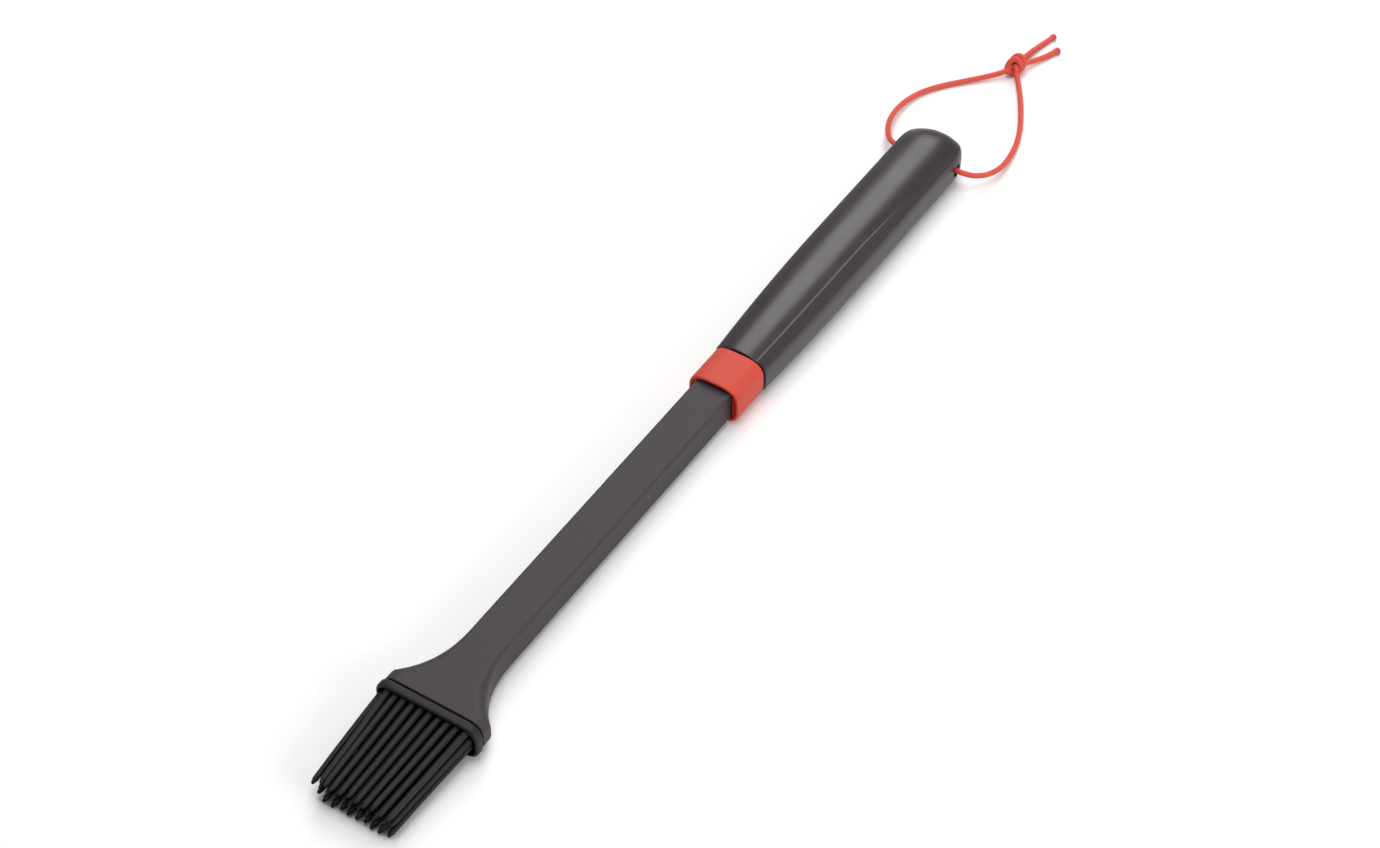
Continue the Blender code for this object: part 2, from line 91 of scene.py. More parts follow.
# a soft key from behind, a box overhead, a fill on the near side and a dim one beyond the grip; in watts
lampTarget = (0.03, 0.0, 0.0)
lamps = dict(key=dict(azimuth=116.5, elevation=45.5, distance=1.5, size=(0.70, 1.0), power=9.3),
             overhead=dict(azimuth=0.0, elevation=89.0, distance=1.6, size=(1.0, 1.0), power=13.3),
             fill=dict(azimuth=-6.0, elevation=24.0, distance=1.6, size=(0.9, 0.6), power=10.0),
             side=dict(azimuth=50.0, elevation=34.0, distance=1.6, size=(0.9, 0.9), power=2.0))
# the sky is dimmer on the side of the bristles than on the side of the grip
ambient = dict(colour=(1.0, 1.0, 1.0, 1.0), dim=0.22, bright=0.38)
floorSet = dict(size=8.0, drop=0.05 * mm, colour=(0.93, 0.93, 0.925, 1.0), roughness=0.6, shine=0.1)


def addLights():
    # each lamp is a rectangle facing its target; the sky's strength grows evenly along X, dim to bright
    for name, lamp in lamps.items():
        data = bpy.data.lights.new(name, "AREA")
        data.shape = "RECTANGLE"
        data.size, data.size_y = lamp["size"]
        data.energy = lamp["power"]
        item = bpy.data.objects.new(name, data)
        bpy.context.scene.collection.objects.link(item)
        aimed(item, lookFrom(lamp["azimuth"], lamp["elevation"]) * lamp["distance"], Vector(lampTarget))
    world = bpy.data.worlds.new("studio")
    world.use_nodes = True
    tree = world.node_tree
    background = tree.nodes["Background"]
    background.inputs["Color"].default_value = ambient["colour"]
    direction = tree.nodes.new("ShaderNodeSeparateXYZ")
    tree.links.new(tree.nodes.new("ShaderNodeTexCoord").outputs["Generated"], direction.inputs[0])
    spread = tree.nodes.new("ShaderNodeMapRange")
    for name, value in (("From Min", -1.0), ("From Max", 1.0), ("To Min", ambient["dim"]),
                        ("To Max", ambient["bright"])):
        spread.inputs[name].default_value = value
    tree.links.new(direction.outputs["X"], spread.inputs["Value"])
    tree.links.new(spread.outputs[0], background.inputs["Strength"])
    bpy.context.scene.world = world
    bpy.context.scene.view_settings.view_transform = "Standard"


def addFloor(settings):                # one square, just under the brush
    half, drop = settings["size"] / 2, settings["drop"]
    data = bpy.data.meshes.new("floor")
    data.from_pydata([(-half, -half, -drop), (half, -half, -drop), (half, half, -drop), (-half, half, -drop)],
                     [], [(0, 1, 2, 3)])
    item = bpy.data.objects.new("floor", data)
    bpy.context.scene.collection.objects.link(item)
    material = bpy.data.materials.new("floorWhite")
    material.use_nodes = True
    shader = material.node_tree.nodes["Principled BSDF"]
    shader.inputs["Base Color"].default_value = settings["colour"]
    shader.inputs["Roughness"].default_value = settings["roughness"]
    shader.inputs["Specular IOR Level"].default_value = settings["shine"]
    data.materials.append(material)


addCamera(cameraSet)
addLights()
addFloor(floorSet)
print("camera, lights and floor are in")


def addNode(tree, kind, values=None, links=None):
    # values fills sockets by name or number; links joins sockets of this node to given outputs
    node = tree.nodes.new(kind)
    for key, value in (values or {}).items():
        if isinstance(key, str) and hasattr(node, key):
            setattr(node, key, value)
        else:
            node.inputs[key].default_value = value
    for key, output in (links or {}).items():
        tree.links.new(output, node.inputs[key])
    return node


def mathNode(tree, operation, first, second=None):      # first and second are numbers or outputs
    node = addNode(tree, "ShaderNodeMath", {"operation": operation})
    for index, value in enumerate((first, second)):
        if value is None:
            continue
        if isinstance(value, (int, float)):
            node.inputs[index].default_value = value
        else:
            tree.links.new(value, node.inputs[index])
    return node.outputs[0]


# shares of grain and cloud in the mix, and the stretch of it that runs from dark to light
grainSet = dict(grainShare=0.55, cloudShare=0.45, low=0.3, high=0.7, grainDetail=3.0, grainRoughness=0.6,
                cloudDetail=2.0, cloudRoughness=0.5)


def buildMouldedGrain():
    # moulded plastic or rubber: a fine grain over a slow cloudiness, as a colour, a roughness and a height;
    # the colour also takes painted shade in hollows
    group = bpy.data.node_groups.new("mouldedGrain", "ShaderNodeTree")
    for name, kind in (("Dark", "NodeSocketColor"), ("Light", "NodeSocketColor"),
                       ("Deep", "NodeSocketColor"), ("Grain size", "NodeSocketFloat"),
                       ("Cloud size", "NodeSocketFloat"), ("Smooth", "NodeSocketFloat"),
                       ("Rough", "NodeSocketFloat")):
        group.interface.new_socket(name=name, in_out="INPUT", socket_type=kind)
    for name, kind in (("Color", "NodeSocketColor"), ("Roughness", "NodeSocketFloat"),
                       ("Height", "NodeSocketFloat")):
        group.interface.new_socket(name=name, in_out="OUTPUT", socket_type=kind)
    start = group.nodes.new("NodeGroupInput")
    end = group.nodes.new("NodeGroupOutput")
    where = group.nodes.new("ShaderNodeTexCoord").outputs["Object"]
    grainScale = mathNode(group, "DIVIDE", 1.0, start.outputs["Grain size"])
    cloudScale = mathNode(group, "DIVIDE", 1.0, start.outputs["Cloud size"])
    grain = addNode(group, "ShaderNodeTexNoise",
                    {"Detail": grainSet["grainDetail"], "Roughness": grainSet["grainRoughness"]},
                    {"Vector": where, "Scale": grainScale}).outputs[0]
    cloud = addNode(group, "ShaderNodeTexNoise",
                    {"Detail": grainSet["cloudDetail"], "Roughness": grainSet["cloudRoughness"]},
                    {"Vector": where, "Scale": cloudScale}).outputs[0]
    share = mathNode(group, "ADD", mathNode(group, "MULTIPLY", grain, grainSet["grainShare"]),
                     mathNode(group, "MULTIPLY", cloud, grainSet["cloudShare"]))
    stretch = {"From Min": grainSet["low"], "From Max": grainSet["high"]}
    spread = addNode(group, "ShaderNodeMapRange", stretch, {"Value": share})
    mix = addNode(group, "ShaderNodeMix", {"data_type": "RGBA"},
                  {"Factor": spread.outputs[0], 6: start.outputs["Dark"], 7: start.outputs["Light"]})
    # painted shade: a piece's own recess attribute, 0 in the open and 1 in its hollows, mixes the colour
    # towards a painted shade colour
    recess = addNode(group, "ShaderNodeAttribute", {"attribute_name": "recess"}).outputs["Fac"]
    withPaintedShade = addNode(group, "ShaderNodeMix", {"data_type": "RGBA"},
                       {"Factor": recess, 6: mix.outputs[2], 7: start.outputs["Deep"]})
    rough = addNode(group, "ShaderNodeMapRange", stretch,
                    {"Value": share, "To Min": start.outputs["Smooth"], "To Max": start.outputs["Rough"]})
    group.links.new(withPaintedShade.outputs[2], end.inputs["Color"])
    group.links.new(rough.outputs[0], end.inputs["Roughness"])
    group.links.new(grain, end.inputs["Height"])
    return group


mouldedGrain = buildMouldedGrain()

# colours are linear; grain and cloud are sizes in metres, relief is the grain's height, shine the specular
# level, and the colour for hollows is painted shade, mixed in where a piece marks its shaded hollows
finishes = dict(
    gripBlack=dict(dark=(0.016, 0.0100, 0.015, 1), light=(0.026, 0.0165, 0.024, 1), grain=0.5 * mm,
                   cloud=14 * mm, smooth=0.31, rough=0.39, relief=0.012 * mm, deep=(0.004, 0.003, 0.004, 1),
                   shine=0.5),
    shaftBlack=dict(dark=(0.013, 0.0082, 0.012, 1), light=(0.040, 0.0295, 0.037, 1), grain=0.8 * mm,
                    cloud=18 * mm, smooth=0.52, rough=0.68, relief=0.13 * mm, deep=(0.004, 0.003, 0.004, 1),
                    shine=0.5),
    siliconeBlack=dict(dark=(0.0085, 0.0065, 0.0065, 1), light=(0.015, 0.0118, 0.0118, 1), grain=0.4 * mm,
                       cloud=8 * mm, smooth=0.52, rough=0.66, relief=0.012 * mm,
                       deep=(0.0015, 0.001, 0.001, 1), shine=0.32),
    collarRed=dict(dark=(0.50, 0.046, 0.024, 1), light=(0.58, 0.060, 0.034, 1), grain=0.5 * mm,
                   cloud=6 * mm, smooth=0.54, rough=0.66, relief=0.014 * mm, deep=(0.62, 0.020, 0.012, 1),
                   shine=0.4),
    meltedRed=dict(dark=(0.42, 0.030, 0.022, 1), light=(0.56, 0.055, 0.040, 1), grain=0.5 * mm,
                   cloud=2 * mm, smooth=0.28, rough=0.45, relief=0.03 * mm, deep=(0.16, 0.006, 0.004, 1),
                   shine=0.5))


def mouldedMaterial(name, finish):     # the shared grain drives colour, roughness and a fine bump
    material = bpy.data.materials.new(name)
    material.use_nodes = True
    tree = material.node_tree
    shader = tree.nodes["Principled BSDF"]
    grain = addNode(tree, "ShaderNodeGroup", {"node_tree": mouldedGrain})
    for key, value in (("Dark", finish["dark"]), ("Light", finish["light"]), ("Deep", finish["deep"]),
                       ("Grain size", finish["grain"]), ("Cloud size", finish["cloud"]),
                       ("Smooth", finish["smooth"]), ("Rough", finish["rough"])):
        grain.inputs[key].default_value = value
    bump = addNode(tree, "ShaderNodeBump", {"Strength": 1.0, "Distance": finish["relief"]},
                   {"Height": grain.outputs["Height"]})
    shader.inputs["Specular IOR Level"].default_value = finish["shine"]
    tree.links.new(grain.outputs["Color"], shader.inputs["Base Color"])
    tree.links.new(grain.outputs["Roughness"], shader.inputs["Roughness"])
    tree.links.new(bump.outputs["Normal"], shader.inputs["Normal"])
    return material


# the cord's cover: strands per direction, distance between crossings, height of a strand and its mean
# hollow is painted shade for the crevices between strands, crown the red on their tops
braid = dict(strands=6, step=1.6 * mm, height=0.13 * mm, mean=0.6, hollow=(0.16, 0.004, 0.003, 1),
             crown=(0.76, 0.085, 0.050, 1), crownPower=0.45, fibre=0.25 * mm, fibreTone=0.5, leastTone=0.75,
             ridgeShare=0.7, fibreShare=0.3, relief=0.05 * mm, strength=0.8, roughness=0.72, sheen=0.08,
             sheenRoughness=0.5)


def braidedMaterial(name, cover):
    material = bpy.data.materials.new(name)
    material.use_nodes = True
    tree = material.node_tree
    shader = tree.nodes["Principled BSDF"]
    uv = addNode(tree, "ShaderNodeSeparateXYZ", None,
                 {0: addNode(tree, "ShaderNodeUVMap", {"uv_map": "cordUV"}).outputs[0]})
    around = mathNode(tree, "MULTIPLY", uv.outputs[0], float(cover["strands"]))
    along = mathNode(tree, "DIVIDE", uv.outputs[1], cover["step"])
    right = mathNode(tree, "ADD", around, along)
    left = mathNode(tree, "SUBTRACT", around, along)
    rightRidge, leftRidge = (
        mathNode(tree, "ABSOLUTE", mathNode(tree, "SINE", mathNode(tree, "MULTIPLY", diagonal, math.pi)))
        for diagonal in (right, left))
    cells = mathNode(tree, "ADD", mathNode(tree, "FLOOR", right), mathNode(tree, "FLOOR", left))
    onTop = mathNode(tree, "PINGPONG", cells, 1.0)
    ridge = addNode(tree, "ShaderNodeMix", {"data_type": "FLOAT"},
                    {"Factor": onTop, "A": rightRidge, "B": leftRidge}).outputs[0]
    fibres = addNode(tree, "ShaderNodeTexNoise", {"Scale": 1.0 / cover["fibre"], "Detail": 2.0},
                     {"Vector": tree.nodes.new("ShaderNodeTexCoord").outputs["Object"]}).outputs[0]
    # painted shade: the colour goes from the crown colour on the strands' tops to the hollow colour in the
    # crevices between them; the fibre noise adds random tone
    tone = mathNode(tree, "MULTIPLY", mathNode(tree, "POWER", ridge, cover["crownPower"]),
                    mathNode(tree, "ADD", mathNode(tree, "MULTIPLY", fibres, cover["fibreTone"]),
                             cover["leastTone"]))
    colour = addNode(tree, "ShaderNodeMix", {"data_type": "RGBA", 6: cover["hollow"], 7: cover["crown"]},
                     {"Factor": tone})
    height = mathNode(tree, "ADD", mathNode(tree, "MULTIPLY", ridge, cover["ridgeShare"]),
                      mathNode(tree, "MULTIPLY", fibres, cover["fibreShare"]))
    bump = addNode(tree, "ShaderNodeBump", {"Strength": cover["strength"], "Distance": cover["relief"]},
                   {"Height": height})
    tree.links.new(colour.outputs[2], shader.inputs["Base Color"])
    tree.links.new(bump.outputs["Normal"], shader.inputs["Normal"])
    shader.inputs["Roughness"].default_value = cover["roughness"]
    shader.inputs["Sheen Weight"].default_value = cover["sheen"]
    shader.inputs["Sheen Roughness"].default_value = cover["sheenRoughness"]
    return material


materials = {name: mouldedMaterial(name, finish) for name, finish in finishes.items()}
materials["cordRed"] = braidedMaterial("cordRed", braid)
print("materials are made")


def surfacePiece(name, points, material, along=None, closedRows=False, sharpAngle=40.0, recess=None):
    # A mesh from points on grids: axes are shell, row, column and xyz. Columns close on themselves.
    # Rows close too, or the first and last are filled by a fan round their middle. along gives each
    # row's place in metres for the UV map, and a column's place round the tube is the other coordinate.
    # recess gives each row's depth in a hollow, 0 to 1, for the material's painted shade.
    if points.ndim == 3:
        points = points[None]
    shells, rows, columns, _ = points.shape
    rowStart = np.arange(rows if closedRows else rows - 1)[:, None] * columns
    rowNext = (rowStart + columns) % (rows * columns)
    column = np.arange(columns)[None, :]
    beside = (column + 1) % columns
    quads = np.stack([rowStart + column, rowStart + beside, rowNext + beside, rowNext + column], axis=-1)
    size = rows * columns + (0 if closedRows else 2)
    vertices = points.reshape(shells, rows * columns, 3)
    corners = (np.arange(shells)[:, None, None] * size + quads.reshape(1, -1, 4)).reshape(-1)
    starts = np.arange(0, len(corners), 4)
    turn = np.arange(columns)
    if not closedRows:
        middles = np.stack([points[:, 0].mean(axis=1), points[:, -1].mean(axis=1)], axis=1)
        vertices = np.concatenate([vertices, middles], axis=1)
        first = np.stack([np.full(columns, size - 2), (turn + 1) % columns, turn], axis=-1)
        last = (rows - 1) * columns
        final = np.stack([np.full(columns, size - 1), last + turn, last + (turn + 1) % columns], axis=-1)
        fans = np.concatenate([first, final]).reshape(1, -1, 3)
        fanCorners = (np.arange(shells)[:, None, None] * size + fans).reshape(-1)
        starts = np.concatenate([starts, len(corners) + np.arange(0, len(fanCorners), 3)])
        corners = np.concatenate([corners, fanCorners])
    mesh = bpy.data.meshes.new(name)
    mesh.vertices.add(shells * size)
    mesh.vertices.foreach_set("co", vertices.reshape(-1).astype(np.float32))
    mesh.loops.add(len(corners))
    mesh.loops.foreach_set("vertex_index", corners.astype(np.int32))
    mesh.polygons.add(len(starts))
    mesh.polygons.foreach_set("loop_start", starts.astype(np.int32))
    mesh.update(calc_edges=True)
    if along is not None:
        lengthways = np.broadcast_to(np.asarray(along, float), (shells, rows))
        low = lengthways[:, :, None] if closedRows else lengthways[:, :-1, None]
        high = np.roll(lengthways, -1, axis=1)[:, :, None] if closedRows else lengthways[:, 1:, None]
        here = turn[None, None, :] / columns
        there = here + 1 / columns
        zero = np.zeros_like(low + here)
        u = np.stack([here + zero, there + zero, there + zero, here + zero], axis=-1)
        v = np.stack([low + zero, low + zero, high + zero, high + zero], axis=-1)
        uv = np.stack([u, v], axis=-1).reshape(-1, 2)
        if not closedRows:
            ends = np.stack([lengthways[:, 0], lengthways[:, -1]], axis=1)
            endV = np.broadcast_to(ends[:, :, None, None], (shells, 2, columns, 3)).reshape(-1)
            endU = np.broadcast_to(turn[None, None, :, None] / columns, (shells, 2, columns, 3)).reshape(-1)
            uv = np.concatenate([uv, np.stack([endU, endV], axis=-1)])
        layer = mesh.uv_layers.new(name="cordUV")
        layer.data.foreach_set("uv", uv.reshape(-1).astype(np.float32))
    if recess is not None:
        values = np.broadcast_to(np.asarray(recess, float).reshape(-1, rows), (shells, rows))
        spots = np.repeat(values[:, :, None], columns, axis=2).reshape(shells, -1)
        if not closedRows:
            spots = np.concatenate([spots, values[:, :1], values[:, -1:]], axis=1)
        store = mesh.attributes.new("recess", "FLOAT", "POINT")
        store.data.foreach_set("value", spots.reshape(-1).astype(np.float32))
    mesh.materials.append(material)
    mesh.shade_smooth()
    mesh.set_sharp_from_angle(angle=math.radians(sharpAngle))
    item = bpy.data.objects.new(name, mesh)
    bpy.context.scene.collection.objects.link(item)
    return item


def ovalSection(halfWidth, halfHeight, middle, exponent, columns=144):
    # |y/a|^n + |z/b|^n = 1 at even steps of its angle, turning from +Y to +Z; one section per station
    angle = np.linspace(0, 2 * np.pi, columns, endpoint=False)[None, :] + np.pi / columns
    a, b, m, n = (np.asarray(value, float).reshape(-1, 1)
                  for value in (halfWidth, halfHeight, middle, exponent))
    radius = (np.abs(np.cos(angle) / a) ** n + np.abs(np.sin(angle) / b) ** n) ** (-1 / n)
    return np.stack([radius * np.cos(angle), m + radius * np.sin(angle)], axis=-1)


def boxSection(halfWidth, low, high, upperReach, lowerReach, perCorner=10, perSide=14):
    # a box whose corners are quadratic curves reaching along both sides; one section per station
    halfWidth, low, high, upperReach, lowerReach = np.broadcast_arrays(
        *(np.atleast_1d(np.asarray(value, float))
          for value in (halfWidth, low, high, upperReach, lowerReach)))
    step = np.linspace(0, 1, perCorner)[None, :, None]
    parts = []
    for side, edge, reach, back, ahead in ((1, high, upperReach, (0, -1), (-1, 0)),
                                           (-1, high, upperReach, (1, 0), (0, -1)),
                                           (-1, low, lowerReach, (0, 1), (1, 0)),
                                           (1, low, lowerReach, (-1, 0), (0, 1))):
        corner = np.stack([side * halfWidth, edge], axis=-1)[:, None, :]
        start = corner + reach[:, None, None] * np.array(back)
        end = corner + reach[:, None, None] * np.array(ahead)
        parts.append((1 - step) ** 2 * start + 2 * step * (1 - step) * corner + step ** 2 * end)
    share = (0.5 - 0.5 * np.cos(np.pi * np.linspace(0, 1, perSide + 2)))[None, 1:-1, None]
    sides = [part[:, -1:] + (following[:, :1] - part[:, -1:]) * share
             for part, following in zip(parts, parts[1:] + parts[:1])]
    return np.concatenate([piece for pair in zip(parts, sides) for piece in pair], axis=1)


def carried(x, section):               # sections of (y, z) set at their places along X
    x = np.broadcast_to(np.asarray(x, float)[:, None, None], section.shape[:2] + (1,))
    return np.concatenate([x, section], axis=-1)


def place(piece, body, nodes):   # the piece rides on a body and stands for CAD nodes
    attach(piece, body)
    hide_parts(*nodes)
    return piece


def ease(value):                       # 0 to 1 with level ends
    value = np.clip(value, 0, 1)
    return value * value * (3 - 2 * value)


def nodeBox(node):                     # low and high corner of a CAD node
    low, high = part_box(node)
    return np.array(low), np.array(high)


shaftLow, shaftHigh = nodeBox("shaft")
collarLow, collarHigh = nodeBox("collar")
gripLow, gripHigh = nodeBox("grip")
baseLow, baseHigh = nodeBox("head_base")
rowLow, _ = nodeBox("bristle_row_1")
gap = 0.3 * mm                         # between two parts that fit into each other


# the shaft is one piece with its neck and with the tang that the grip holds
shaft = dict(width=17.6 * mm, low=2.95 * mm, high=17.75 * mm, lowerEdge=1.4 * mm,
             neckLength=47 * mm, neckInset=0.5 * mm, shoulderLength=6 * mm, shoulderDrop=0.36 * mm,
             flareShort=5 * mm, flarePower=2.9, headCorner=7 * mm, socketWall=2.2 * mm,
             plugLength=13 * mm, mouthEdge=0.45 * mm, mouthDepth=6 * mm, tangInset=2.6 * mm,
             edgeCurve=0.8 * mm, grooveDrop=1.3 * mm, grooveWidth=0.30 * mm, grooveDepth=0.30 * mm,
             grooveFade=2.2, cornerLoss=0.7, leastCorner=0.3 * mm, mouthInset=0.15 * mm, skinStop=3 * mm,
             tangEdge=0.6 * mm, tangCorner=1.6 * mm, socketRings=8, edgeRings=5, neckRings=70, bodyRings=12)


def neckHalfWidth(x):
    # a power curve out from the straight shaft, then a short shoulder that bulges outwards
    start = shaftLow[0] + shaft["neckLength"]
    end = baseHigh[1] - shaft["neckInset"]
    half = shaft["width"] / 2
    along = np.clip((start - x) / (shaft["neckLength"] - shaft["flareShort"]), 0, 1)
    flare = half + (end - half) * along ** shaft["flarePower"]
    near = np.clip((shaftLow[0] + shaft["shoulderLength"] - x) / shaft["shoulderLength"], 0, 1)
    rounded = end - shaft["shoulderDrop"] * (1 - near) ** 2
    return flare + (rounded - flare) * ease(near)


def neckSection(x, inset=0.0):
    # box sections that ease from the shaft's size and corners to the head's, drawn in by inset
    x, inset = np.asarray(x, float), np.asarray(inset, float)
    rise = ease((shaftLow[0] + shaft["neckLength"] - x) / shaft["neckLength"])
    inset = np.broadcast_to(inset, x.shape)
    low = shaft["low"] + (baseLow[2] + shaft["neckInset"] - shaft["low"]) * rise
    high = shaft["high"] + (baseHigh[2] - shaft["neckInset"] - shaft["high"]) * rise
    upper = shaft["edgeCurve"] + (shaft["headCorner"] - shaft["edgeCurve"]) * rise
    lower = shaft["lowerEdge"] + (shaft["headCorner"] - shaft["lowerEdge"]) * rise
    loss, least = shaft["cornerLoss"], shaft["leastCorner"]
    section = boxSection(neckHalfWidth(x) - inset, low + inset, high - inset,
                         np.maximum(upper - loss * inset, least), np.maximum(lower - loss * inset, least))
    # a fine Gaussian groove runs along both sides, just under the upper edge, and fades into the neck
    below = (high - inset)[:, None] - section[:, :, 1] - shaft["grooveDrop"]
    depth = shaft["grooveDepth"] * (1 - ease(rise * shaft["grooveFade"]))[:, None]
    section[:, :, 0] -= np.sign(section[:, :, 0]) * depth * np.exp(-(below / shaft["grooveWidth"]) ** 2)
    return section


def makeShaft():
    # one skin: up the socket's wall from its floor, round the mouth's edge, back along the outside
    neckEnd = shaftLow[0]
    neckStart = neckEnd + shaft["neckLength"]
    shoulder = collarLow[0] + shaft["mouthDepth"]
    edge = shaft["mouthEdge"]
    turn = np.linspace(0, np.pi / 2, shaft["edgeRings"])
    socketX = np.linspace(neckEnd + shaft["plugLength"] + gap, neckEnd + edge, shaft["socketRings"])
    innerX, innerInset = neckEnd + edge * (1 - np.sin(turn)), shaft["socketWall"] - edge * (1 - np.cos(turn))
    outerX, outerInset = neckEnd + edge * (1 - np.cos(turn)), edge * (1 - np.sin(turn))
    skinX = np.concatenate([np.linspace(neckEnd + edge, neckStart, shaft["neckRings"])[1:],
                            np.linspace(neckStart, collarLow[0] - shaft["skinStop"], shaft["bodyRings"])[1:]])
    x = np.concatenate([socketX, innerX[1:], outerX, skinX, [shoulder]])
    inset = np.concatenate([np.full(len(socketX), shaft["socketWall"]), innerInset[1:], outerInset,
                            np.zeros(len(skinX)), [shaft["mouthInset"]]])
    body = carried(x, neckSection(x, inset))
    tangX = np.array([shoulder, shaftHigh[0] - shaft["tangEdge"], shaftHigh[0]])
    tangInset = shaft["tangInset"] + np.array([0, 0, shaft["tangEdge"]])
    tang = boxSection(shaft["width"] / 2 - tangInset, shaft["low"] + tangInset, shaft["high"] - tangInset,
                      shaft["tangCorner"], shaft["tangCorner"])
    points = np.concatenate([body, carried(tangX, tang)])
    piece = surfacePiece("shaftBody", points, materials["shaftBlack"], sharpAngle=50.0)
    return place(piece, "handle", ["shaft"])


makeShaft()
print("shaft is made")


# the collar is a ring with a rolled front lip, a funnel round the shaft and a recess for the grip's boss;
# lipTurn and the two shades are in degrees
collar = dict(lip=0.85 * mm, wall=1.4 * mm, squareness=3.3, shaftGap=0.35 * mm, funnelDepth=0.9 * mm,
              backEdge=0.3 * mm, bossDepth=6 * mm, passageInset=2.3 * mm, lipTurn=130, lipRings=12,
              edgeRings=4, sideRings=8, passagePower=9.0, mouthPower=12.0, funnelRings=10, funnelRise=0.8,
              funnelSquaring=0.5, shadeFrom=55, shadeOver=50)


def makeCollar():
    # rings of (place, half width, half height, exponent) in a closed loop: outside, back, recess,
    # passage, mouth, funnel and lip
    halfWidth = collarHigh[1]
    halfHeight = (collarHigh[2] - collarLow[2]) / 2
    middle = (collarHigh[2] + collarLow[2]) / 2
    front, back = collarLow[0], collarHigh[0]
    lip, edge, wall = collar["lip"], collar["backEdge"], collar["wall"]
    square = collar["squareness"]
    shoulder = front + shaft["mouthDepth"]
    turn = np.radians(np.linspace(collar["lipTurn"], 0, collar["lipRings"]))
    lipX, lipInset = front + lip * (1 - np.sin(turn)), lip * (1 - np.cos(turn))
    endTurn = np.radians(np.linspace(0, 90, collar["edgeRings"]))
    backX, backInset = back - edge * (1 - np.sin(endTurn)), edge * (1 - np.cos(endTurn))
    sideX = np.linspace(front + lip, back - edge, collar["sideRings"])[1:-1]
    bossX = back - collar["bossDepth"] - gap
    tangWidth = shaft["width"] / 2 - collar["passageInset"]
    tangHeight = (shaft["high"] - shaft["low"]) / 2 - collar["passageInset"]
    mouthWidth = shaft["width"] / 2 + collar["shaftGap"]
    mouthHeight = (shaft["high"] - shaft["low"]) / 2 + collar["shaftGap"]
    inset = np.concatenate([lipInset, np.zeros(len(sideX)), backInset])
    rings = [(np.concatenate([lipX, sideX, backX]), halfWidth - inset, halfHeight - inset,
              np.full(len(inset), square))]
    passage, mouth = collar["passagePower"], collar["mouthPower"]
    innerX = np.array([back, bossX, bossX, shoulder + gap, shoulder + gap])
    innerWidth = np.array([halfWidth - wall, halfWidth - wall, tangWidth, tangWidth, mouthWidth])
    innerHeight = np.array([halfHeight - wall, halfHeight - wall, tangHeight, tangHeight, mouthHeight])
    rings.append((innerX, innerWidth, innerHeight, np.array([square, square, passage, passage, mouth])))
    # the funnel widens from the mouth's wall out to the lip's inner side as a power of its share
    share = np.linspace(0, 1, collar["funnelRings"])[:-1]
    widening = share ** collar["funnelRise"]
    innerInset = lipInset[0]
    funnelX = front + collar["funnelDepth"] + (lipX[0] - front - collar["funnelDepth"]) * share
    rings.append((funnelX, mouthWidth + (halfWidth - innerInset - mouthWidth) * widening,
                  mouthHeight + (halfHeight - innerInset - mouthHeight) * widening,
                  mouth + (square - mouth) * share ** collar["funnelSquaring"]))
    x, width, height, power = (np.concatenate(part) for part in zip(*rings))
    points = carried(x, ovalSection(width, height, np.full(len(x), middle), power))
    outside = len(rings[0][0])
    # painted shade: the lip darkens as it rolls in, and the boss recess, passage, mouth and funnel are in
    # full painted shade
    recess = np.concatenate([ease((turn / np.pi * 180 - collar["shadeFrom"]) / collar["shadeOver"]),
                             np.zeros(outside - len(turn)), np.ones(len(x) - outside)])
    piece = surfacePiece("collarRing", points, materials["collarRed"], closedRows=True, sharpAngle=50.0,
                         recess=recess)
    return place(piece, "handle", ["collar"])


makeCollar()
print("collar is made")


# the grip swells behind the collar and has a domed end, a fading ridge on its near shoulder and a cross hole
grip = dict(squareness=3.3, groove=0.9 * mm, faceStep=0.4 * mm, faceEdge=0.5 * mm, swellLength=90 * mm,
            dome=17 * mm, roundness=2.5, bossInset=1.7 * mm, tangGap=2.3 * mm, crown=0.42,
            ridgePlace=0.655, ridgeSpread=0.10, ridgeHeight=0.26 * mm, ridgeWidth=0.50 * mm,
            ridgeEnd=150 * mm, ridgeFade=0.35, ridgeFrom=0.2, spreadFrom=130 * mm, spreadOver=60 * mm,
            hollowDepth=0.07 * mm, hollowWidth=1.8 * mm, hollowPlace=1.4, crownBlend=0.04, tangPower=9.0,
            columns=240, edgeRings=5, bodyRings=150, domeRings=40)
# the cross hole's cutter: half of its profile as places along the hole and shares of the flare
boreCut = dict(radius=2.7 * mm, flare=0.7 * mm, reach=4 * mm, surface=15.2 * mm, sides=48,
               depths=(0, 0.9 * mm, 2.2 * mm), flares=(1.6, 0.9, 0.25, 0))


def gripHalves(x):
    # the half sizes grow along a parabola behind the collar and close along |t|^n + |r|^n = 1 at the end
    face = collarHigh[0] + grip["groove"]
    left = (1 - np.clip((x - face) / grip["swellLength"], 0, 1)) ** 2
    fullWidth, fullHeight = gripHigh[1], gripHigh[2] / 2
    faceWidth = collarHigh[1] + grip["faceStep"]
    faceHeight = (collarHigh[2] - collarLow[2] + grip["faceStep"]) / 2
    domeStart = gripHigh[0] - grip["dome"]
    into = np.clip((x - domeStart) / grip["dome"], 0, 1)
    close = np.maximum(1 - into ** grip["roundness"], 0) ** (1 / grip["roundness"])
    middle = fullHeight - (fullHeight - faceHeight) * left
    return (fullWidth - (fullWidth - faceWidth) * left) * close, middle * close, middle


